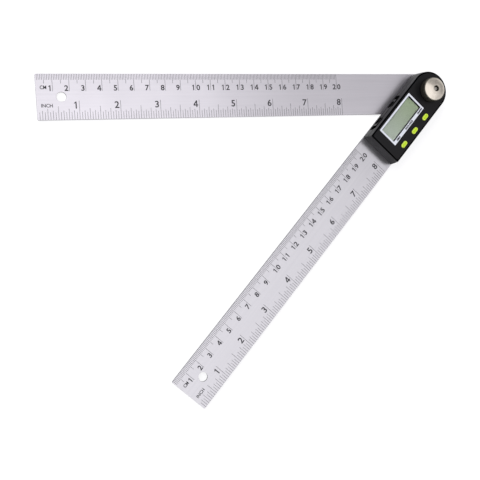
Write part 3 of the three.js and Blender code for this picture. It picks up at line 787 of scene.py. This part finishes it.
tub = leaning(plate(tongue(head_reach, foot_half, head_corner), [], base_z[0], lip_top, head_edge, 3))
inside = plate(tongue(head_reach - end_wall, top_half - wall, head_corner), [],
               base_z[0] + floor_thickness, lip_top + cut_past, 0.0, 0)
lid_reach = head_reach - lip_width - lip_gap
lid_half = foot_half - between(lip_top, wall_insets) - lip_width - lip_gap
recess = plate(tongue(lid_reach + lip_gap, lid_half + lip_gap, head_corner), [],
               ledge_height, lip_top + cut_past, 0.0, 0)
mouth = block(drawer_x[0] - fit_gap, drawer_x[-1] + fit_gap, front_back - fit_gap, foot_half + cut_past,
              drawer_z[0] - fit_gap, drawer_z[-1] + fit_gap)
screw_places = [middle(screw, upper_turn) for screw in screw_names]
posts = [rod(place, post_radius, base_z[0] + floor_root, board_z[0]) for place in screw_places]
post_holes = [rod(place, screw_hole_radius, base_z[0] - cut_past, board_z[0] + cut_past, 24)
              for place in screw_places]
rails = []
for side in (-1, 1):
    near = drawer_middle + side * rail_inner
    far = near + side * rail_thickness
    rails.append(block(min(near, far), max(near, far), drawer_y[0], top_half - wall + wall_root,
                       base_z[0] + floor_root, rail_top))
hub_opening = rod(Vector((0, 0, 0)), bush_hole, base_z[0] - cut_past,
                  base_z[0] + floor_thickness + cut_past, 96)
scoops = [wall_hollow(side * scoop_shift, scoop_height, scoop_length, scoop_width, scoop_depth)
          for side in (-1, 1)]
tub = combined("DIFFERENCE", tub, inside, recess)
tub = combined("UNION", tub, *posts, *rails)
tub = combined("DIFFERENCE", tub, mouth, hub_opening, *post_holes, *scoops)

# The end wall is its second material, a darker copy of the black as painted shade, and the ledge under the
# cover's gap its third, near black as painted shadow in the gap
for face in tub.faces:
    centre = face.calc_center_median()
    if face.normal.x < -0.9 and centre.x < 1 - head_reach:
        face.material_index = 1
    elif face.normal.z > 0.9 and abs(centre.z - ledge_height) < 0.05:
        face.material_index = 2


def moulded_black(name, dark, light, roughness, grain, gloss):
    """Black ABS with a fine spark-eroded grain, a little rougher where it is handled."""
    finish, tree, shader, along = finish_start(name, upper_turn)
    specks = add(tree, "ShaderNodeTexNoise", {"Vector": along, "Scale": 2600.0, "Detail": 3.0})
    coloured(tree, shader, rescale(tree, specks.outputs["Fac"], 0.0, 1.0, 0.3, 0.7), dark, light)
    roughened(tree, shader, smudges(tree, along, scale=80.0), roughness, roughness + 0.08)
    shader.inputs["Specular IOR Level"].default_value = gloss
    pits = add(tree, "ShaderNodeTexVoronoi", {"Vector": along, "Scale": 4200.0}, feature="SMOOTH_F1")
    bump(tree, shader, pits.outputs["Distance"], grain)
    return finish


base_black = moulded_black("head_base_black", tone(24, 24, 26), tone(34, 34, 36),
                           roughness=0.38, grain=0.012, gloss=0.36)
# The end wall's darker, less glossy black is painted shade; the end wall is the same ABS as the rest of the
# tub.
end_wall_painted_shade = moulded_black("head_end_painted_shade", tone(13, 13, 15), tone(21, 21, 23),
                          roughness=0.42, grain=0.012, gloss=0.16)
# Matt near black without gloss on the ledge in the lid's gap: painted shadow, not a part of its own.
gap_painted_shade = moulded_black("lid_gap_painted_shade", tone(4, 4, 5), tone(7, 7, 8),
                           roughness=0.7, grain=0.004, gloss=0.0)
head_base = settled(tub, "head_base", [base_black, end_wall_painted_shade, gap_painted_shade], upper_turn)
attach(head_base, "upper_arm")
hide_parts("housing_base")


# Circuit
# The board in the head with its controller under a blob of resin, the clock crystal, three
# tact switches, two leaf contacts and the rubber strip that feeds the display.
resist = satin_plastic("solder_resist", tone(18, 74, 42), tone(28, 96, 56), roughness=0.35)
resin = satin_plastic("black_resin", tone(16, 16, 18), tone(26, 26, 28), roughness=0.3)
silicone = satin_plastic("grey_silicone", tone(66, 68, 70), tone(86, 88, 90), roughness=0.7)
for node in ("circuit_board", "encoder_rotor"):
    dress(node, resist)
for node in ("controller_chip", "on_off_switch", "hold_switch", "zero_switch"):
    dress(node, resin)
dress("zebra_strip", silicone)
dress("clock_crystal", spring_steel)
for node in ("top_contact", "side_contact"):
    dress(node, nickel)


# Display
# Two bonded panes of glass over a grey-green polariser, which stay blank while it is off, in a
# nylon holder with a white sheet behind. The lens is a clear acrylic sheet glued under the
# window's lip.
opening_x, opening_y = (side[1:3] for side in sides("window_frame", upper_turn)[:2])
lip_shadow_width = 0.6
painted_lip_shadow = tone(30, 33, 38)

# The polariser pales towards the far end, and a dark border inside the window is painted shadow of the
# window's lip
display, tree, shader, along = finish_start("lcd_polariser", upper_turn)
haze = smudges(tree, along, scale=40.0)
place = add(tree, "ShaderNodeSeparateXYZ", {0: along}).outputs
far_share = rescale(tree, place["X"], 1.0, 0.0, opening_x[0] * MM, opening_x[1] * MM)
green = mixed(tree, far_share, tone(171, 190, 149), tone(203, 213, 201))
hazed = mixed(tree, rescale(tree, haze, 0.0, 0.25), green, tone(160, 178, 142))
within = []
for axis, (low, high) in (("X", opening_x), ("Y", opening_y)):
    from_centre = reckoned(tree, "SUBTRACT", place[axis], (low + high) / 2 * MM)
    distance = reckoned(tree, "ABSOLUTE", from_centre)
    within.append(reckoned(tree, "LESS_THAN", distance, ((high - low) / 2 - lip_shadow_width) * MM))
# Near the edges of the opening, the polariser takes the dark colour as the painted shadow of the lip.
coloured(tree, shader, reckoned(tree, "MULTIPLY", *within), painted_lip_shadow, hazed)
roughened(tree, shader, haze, low=0.28, high=0.34)
fine_haze = add(tree, "ShaderNodeTexNoise", {"Vector": along, "Scale": 9000.0})
bump(tree, shader, fine_haze.outputs["Fac"], distance=0.001)
dress("lcd_glass", display)
for node in ("lcd_holder", "reflector_sheet"):
    dress(node, nylon)


def rectangle(x, y, grow=0.0):
    """The outline about two rows of places, grown on every side."""
    x0, x1, y0, y1 = x[0] - grow, x[-1] + grow, y[0] - grow, y[-1] + grow
    return [(x0, y0), (x1, y0), (x1, y1), (x0, y1)]


lens_edge = 0.08
lens_sink = 0.02
lens_x, lens_y, lens_z = sides("window_lens", upper_turn)
clear, tree, shader, along = finish_start("clear_acrylic", upper_turn)
roughened(tree, shader, smudges(tree, along, scale=70.0), low=0.02, high=0.06)
shader.inputs["Base Color"].default_value = tone(250, 252, 251)
shader.inputs["Transmission Weight"].default_value = 1.0
shader.inputs["IOR"].default_value = 1.49
lens_body = plate(rectangle(lens_x, lens_y), [], lens_z[0] + lens_sink, lens_z[-1], lens_edge)
lens = settled(lens_body, "display_lens", [clear], upper_turn)
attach(lens, "upper_arm")
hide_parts("window_lens")


# Head cover
# A black moulded lid that lies within the tub's lip, on its ledge. It has the window with a
# lip over the lens, three key holes, the stud's hole, and four bosses for the screws.
key_names = ("on_off", "hold", "zero")
key_flange_margin = 0.5
key_room = 0.2
stud_gap = 0.3
stud_radius = levels("lock_stud", 0, lower_turn)[-1]
lip = 0.7
skirt = 1.3
cover_edge = 0.12
seat_gap = 0.3
seat_past = 1.0
ledge_gap = 0.05
boss_root = 0.1
board_x, board_y = sides("circuit_board", upper_turn)[:2]


def key_outline(name, grow):
    """A key's outline where it comes through the cover, grown on every side."""
    x, y = sides(f"{name}_key", upper_turn)[:2]
    trim = key_flange_margin - grow
    return pill(middle(f"{name}_key", upper_turn), x[-1] - x[0] - 2 * trim, y[-1] - y[0] - 2 * trim)


key_holes = [key_outline(name, key_room) for name in key_names]
stud_hole = circle((0, 0), stud_radius + stud_gap, 48)
window = rectangle(opening_x, opening_y)
seat = rectangle(lens_x, lens_y, seat_gap)
inner = tongue(-board_x[0], board_y[-1], head_corner)
rim = plate(tongue(lid_reach, lid_half, head_corner), [window, *key_holes, stud_hole],
            ledge_height + ledge_gap, cover_z[-1], cover_edge, 3)
skirt_low = cover_z[-1] - skirt
skirt_body = plate(inner, [seat, *key_holes, stud_hole], skirt_low, cover_z[-1] - lip / 2, 0.0, 0)
bosses = [rod(place, post_radius, board_z[-1], skirt_low + boss_root) for place in screw_places]
boss_holes = [rod(place, screw_hole_radius, board_z[-1] - cut_past, skirt_low - boss_root, 24)
              for place in screw_places]
seat_cut = block(seat[0][0], seat[2][0], seat[0][1], seat[2][1],
                 skirt_low - seat_past, cover_z[-1] - lip)
lid = combined("UNION", rim, skirt_body, *bosses)
lid = combined("DIFFERENCE", lid, seat_cut, *boss_holes)
cover_black = moulded_black("head_cover_black", tone(6, 6, 8), tone(11, 11, 14),
                            roughness=0.33, grain=0.006, gloss=0.29)
head_cover = settled(lid, "head_cover", [cover_black], upper_turn)
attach(head_cover, "upper_arm")
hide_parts("housing_cover")


# Window frame
# A printed film round the window, white with a pale blue cast, and wider on the side of the
# keys, where it carries their names.
frame_x, frame_y, frame_z = sides("window_frame", upper_turn)
film_thickness = 0.07
film_sink, film_edge = 0.005, 0.02
word_height, word_width, word_weight = 1.35, 0.95, 0.08
key_words = {"on_off": "ON/OFF", "hold": "DATA HOLD", "zero": "ZERO"}

film, tree, shader, along = finish_start("white_film", upper_turn)
smudge = smudges(tree, along, scale=120.0)
coloured(tree, shader, smudge, tone(204, 208, 217), tone(214, 218, 226))
roughened(tree, shader, smudge, low=0.4, high=0.5)
film_grain = add(tree, "ShaderNodeTexNoise", {"Vector": along, "Scale": 5000.0})
bump(tree, shader, film_grain.outputs["Fac"], distance=0.002)

film_top = frame_z[0] + film_thickness
film_body = plate(rectangle(frame_x, frame_y), [window], frame_z[0] + film_sink, film_top, film_edge, 1)
window_film = settled(film_body, "window_film", [film], upper_turn)
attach(window_film, "upper_arm")
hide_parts("window_frame")

word_low = (frame_y[0] + opening_y[0]) / 2 - word_height / 2
words = []
for name, text in key_words.items():
    body = lettering(text, word_height, word_width, word_weight)
    words.append(moved(body, middle(f"{name}_key", upper_turn).x, word_low, film_top + mark_lift))
key_print = settled(gathered(words), "key_words", [etched_black("key_word_ink", upper_turn)], upper_turn)
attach(key_print, "upper_arm")


# Keys
# Three lime keys moulded in soft plastic, each with a rolled rim about a shallow dish. A
# flange under the cover keeps them in, and each rides on its own switch.
key_round = 0.42
dish_inset = 0.62
dish_slope = 0.22
dish_depth = 0.12
flange_edge = 0.08


def lime_plastic(name, dark, light):
    """Soft lime plastic that light gets a little way into."""
    finish, tree, shader, along = finish_start(name, upper_turn)
    smudge = smudges(tree, along, scale=300.0)
    coloured(tree, shader, smudge, dark, light)
    roughened(tree, shader, smudge, low=0.38, high=0.46)
    shader.inputs["Subsurface Weight"].default_value = 0.15
    shader.inputs["Subsurface Radius"].default_value = (0.001, 0.0012, 0.0003)
    grain = add(tree, "ShaderNodeTexNoise", {"Vector": along, "Scale": 6000.0, "Detail": 2.0})
    bump(tree, shader, grain.outputs["Fac"], distance=0.003)
    return finish


def faces_joined(bm):
    """Joins the faces that lie in one plane, give or take 0.4 degrees."""
    bmesh.ops.dissolve_limit(bm, angle_limit=math.radians(0.4), verts=bm.verts, edges=bm.edges)
    return bm


# The rim's paler lime is a painted highlight on its rolled edge; the dish has the plastic's own deeper lime.
lime_rim_painted_highlight = lime_plastic("lime_rim_painted_highlight", tone(192, 215, 72), tone(202, 222, 86))
lime_core = lime_plastic("lime_core", tone(170, 203, 10), tone(181, 211, 22))
for name in key_names:
    key_z = levels(f"{name}_key", 2, upper_turn)
    cap = faces_joined(plate(key_outline(name, 0.0), [], key_z[0], key_z[-1], key_round, 4))
    crown = [face for face in cap.faces if face.calc_center_median().z > key_z[-1] - 0.01]
    bmesh.ops.inset_region(cap, faces=crown, thickness=dish_inset - key_round, depth=0.0)
    slope = bmesh.ops.inset_region(cap, faces=crown, thickness=dish_slope, depth=-dish_depth)
    for face in crown + slope["faces"]:
        face.material_index = 1
    flange = plate(key_outline(name, key_flange_margin), [], key_z[0], key_z[1], flange_edge, 1)
    key = settled(combined("UNION", cap, flange), f"{name}_cap", [lime_rim_painted_highlight, lime_core], upper_turn)
    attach(key, f"{name}_button")
    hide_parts(f"{name}_key")


# Battery drawer
# A black cradle that slides out of the side of the head with the coin cell in it. Its front
# lies flush in the wall, with two grip slots and a thumb notch at each end.
front_edge = 0.12
slot_length, slot_height, slot_depth = 6.4, 3.4, 1.0
slot_shift, slot_drop = 7.7, 0.2
notch_length, notch_height, notch_depth = 3.4, 3.7, 1.0
cell_x, _, cell_z = sides("battery_cell", upper_turn)
cell_middle = middle("battery_cell", upper_turn)
cell_radius = (cell_x[-1] - cell_x[0]) / 2
cell_ledge = 3.5


def softened(bm, width, sharper_than=30):
    """Rounds the edges that turn by more than an angle."""
    faces_joined(bm)
    sharp = [edge for edge in bm.edges
             if edge.is_manifold and edge.calc_face_angle() > math.radians(sharper_than)]
    bmesh.ops.bevel(bm, geom=sharp, offset=width, offset_type="OFFSET", affect="EDGES", segments=2,
                    profile=0.5, material=-1, clamp_overlap=True)
    return bm


blank = leaning(plate(tongue(head_reach, foot_half, head_corner), [], base_z[0], lip_top, 0.0, 0))
front = block(drawer_x[0], drawer_x[-1], front_back, foot_half + cut_past, drawer_z[0], drawer_z[-1])
front = combined("INTERSECT", blank, front)
slot_middle = (drawer_z[0] + drawer_z[-1]) / 2 - slot_drop
cuts = []
for side in (-1, 1):
    cuts.append(wall_hollow(side * slot_shift, slot_middle, slot_length, slot_height, slot_depth))
    end = drawer_middle + side * (drawer_x[-1] - drawer_x[0]) / 2
    inward = end - side * notch_length
    cuts.append(block(min(end, inward) - 0.01, max(end, inward) + 0.01, top_half - notch_depth,
                      foot_half + cut_past, drawer_z[-1] - notch_height, drawer_z[-1] + cut_past))
front = softened(combined("DIFFERENCE", front, *cuts), front_edge)

# The slots, the notches and the sides of the front are its second material, near black without gloss as
# painted shade in these hollows and gaps
for face in front.faces:
    centre = face.calc_center_median()
    if centre.y > front_back + 0.1 and (face.normal.y < 0.5 or centre.y < top_half - slot_depth + 0.05):
        face.material_index = 1
cradle = block(drawer_middle - cradle_half, drawer_middle + cradle_half, drawer_y[0],
               top_half - drawer_front / 2, drawer_z[0], rail_top)
pocket = rod(cell_middle, cell_radius + fit_gap, cell_z[0], cell_z[-1] + cut_past, 96)
floor_window = rod(cell_middle, cell_radius - cell_ledge, drawer_z[0] - cut_past, cell_z[-1] + cut_past, 64)
cradle = combined("DIFFERENCE", cradle, pocket, floor_window)
# Near black with no gloss: painted shade for the slots, the notches and the gaps beside the drawer front.
painted_recess_shade = moulded_black("drawer_recess_painted_shade", tone(5, 5, 6), tone(8, 8, 9),
                            roughness=0.6, grain=0.004, gloss=0.0)
drawer = settled(combined("UNION", front, cradle), "drawer_moulding", [base_black, painted_recess_shade], upper_turn)
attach(drawer, "battery_tray")
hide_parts("battery_drawer")
dress("battery_cell", nickel)


# Head screws
# Four countersunk steel screws with a crossed drive. They go in from under the upper rule,
# through the tub and the board, and hold the cover down.
screw_steel = turned_metal("screw_steel", tone(120, 120, 124), tone(160, 160, 164),
                           roughness=0.32, groove=0.002)
for screw in screw_names:
    dress(screw, screw_steel)


# Lock
# A nickel plated knob on the hub's threaded stud, over a plain washer. Its face is turned to a
# low dome, its side is knurled, and the end of the stud shows in its bore.
knob_x, _, knob_z = sides("lock_knob", lower_turn)
knob_radius = knob_x[-1]
knob_crown = 2.2
knob_edge = 0.5
knob_bore = stud_radius + stud_gap
bore_edge = 0.25
knurl_count = 64
knurl_depth = 0.3
knurl_steps = 6
face_steps = 16

face_start = knob_radius - knob_edge
face_end = knob_bore + bore_edge
dome = []
for step in range(face_steps + 1):
    inward_share = step / face_steps
    dome.append((face_start + (face_end - face_start) * inward_share,
                 knob_z[-1] - knob_crown * (1 - inward_share) ** 2))
side_top = knob_z[-1] - knob_crown
low_round = arc((face_start, knob_z[0] + knob_edge), knob_edge, -1, 0, 4)
high_round = arc((face_start, side_top - knob_edge), knob_edge, 0, 1, 4)[:-1]
profile = [(knob_bore, knob_z[0]), *low_round, *high_round, *dome, (knob_bore, knob_z[-1] - bore_edge)]
knob_body = turned(profile, knurl_count * knurl_steps)
for vert in knob_body.verts:
    reach = math.hypot(vert.co.x, vert.co.y)
    if reach > face_start + 0.01:
        tooth = (1 - math.cos(knurl_count * math.atan2(vert.co.y, vert.co.x))) / 2
        cut_share = 1 - knurl_depth * tooth * (reach - face_start) / knob_edge / reach
        vert.co.x *= cut_share
        vert.co.y *= cut_share

# All but the domed face is the second material, a darker copy of the nickel as painted shade
for face in knob_body.faces:
    centre = face.calc_center_median()
    reach = math.hypot(centre.x, centre.y)
    if reach > face_start + 0.1 or reach < face_end or centre.z < side_top:
        face.material_index = 1
knob_nickel = turned_metal("knob_nickel", tone(222, 213, 198), tone(246, 239, 227),
                           roughness=0.34, groove=0.0035, drawn_out=0.55)
# The knurl and the bore take a dark grey nickel as painted shade and painted reflection of the black cover.
knurl_nickel_painted_shade = turned_metal("knurl_nickel_painted_shade", tone(96, 94, 86), tone(128, 125, 116),
                            roughness=0.36, groove=0.002, drawn_out=0.0)
knob = settled(knob_body, "knurled_knob", [knob_nickel, knurl_nickel_painted_shade], lower_turn)
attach(knob, "lock")
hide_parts("lock_knob")
dress("knob_washer", spring_steel)

stud_z = levels("lock_stud", 2, lower_turn)
stud_round = 0.5
stud_inner = stud_radius - stud_round
stud_top = arc((stud_inner, stud_z[-1] - stud_round), stud_round, 0, 1, 4)
stud_profile = [(0, stud_z[0]), (stud_inner, stud_z[0]), (stud_radius, stud_z[0] + stud_round),
                *stud_top, (0, stud_z[-1])]
stud_steel = turned_metal("stud_steel", tone(176, 172, 164), tone(204, 200, 192),
                          roughness=0.34, groove=0.002)
stud = settled(turned(stud_profile, 48), "stud_rod", [stud_steel], lower_turn)
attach(stud, "lower_arm")
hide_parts("lock_stud")
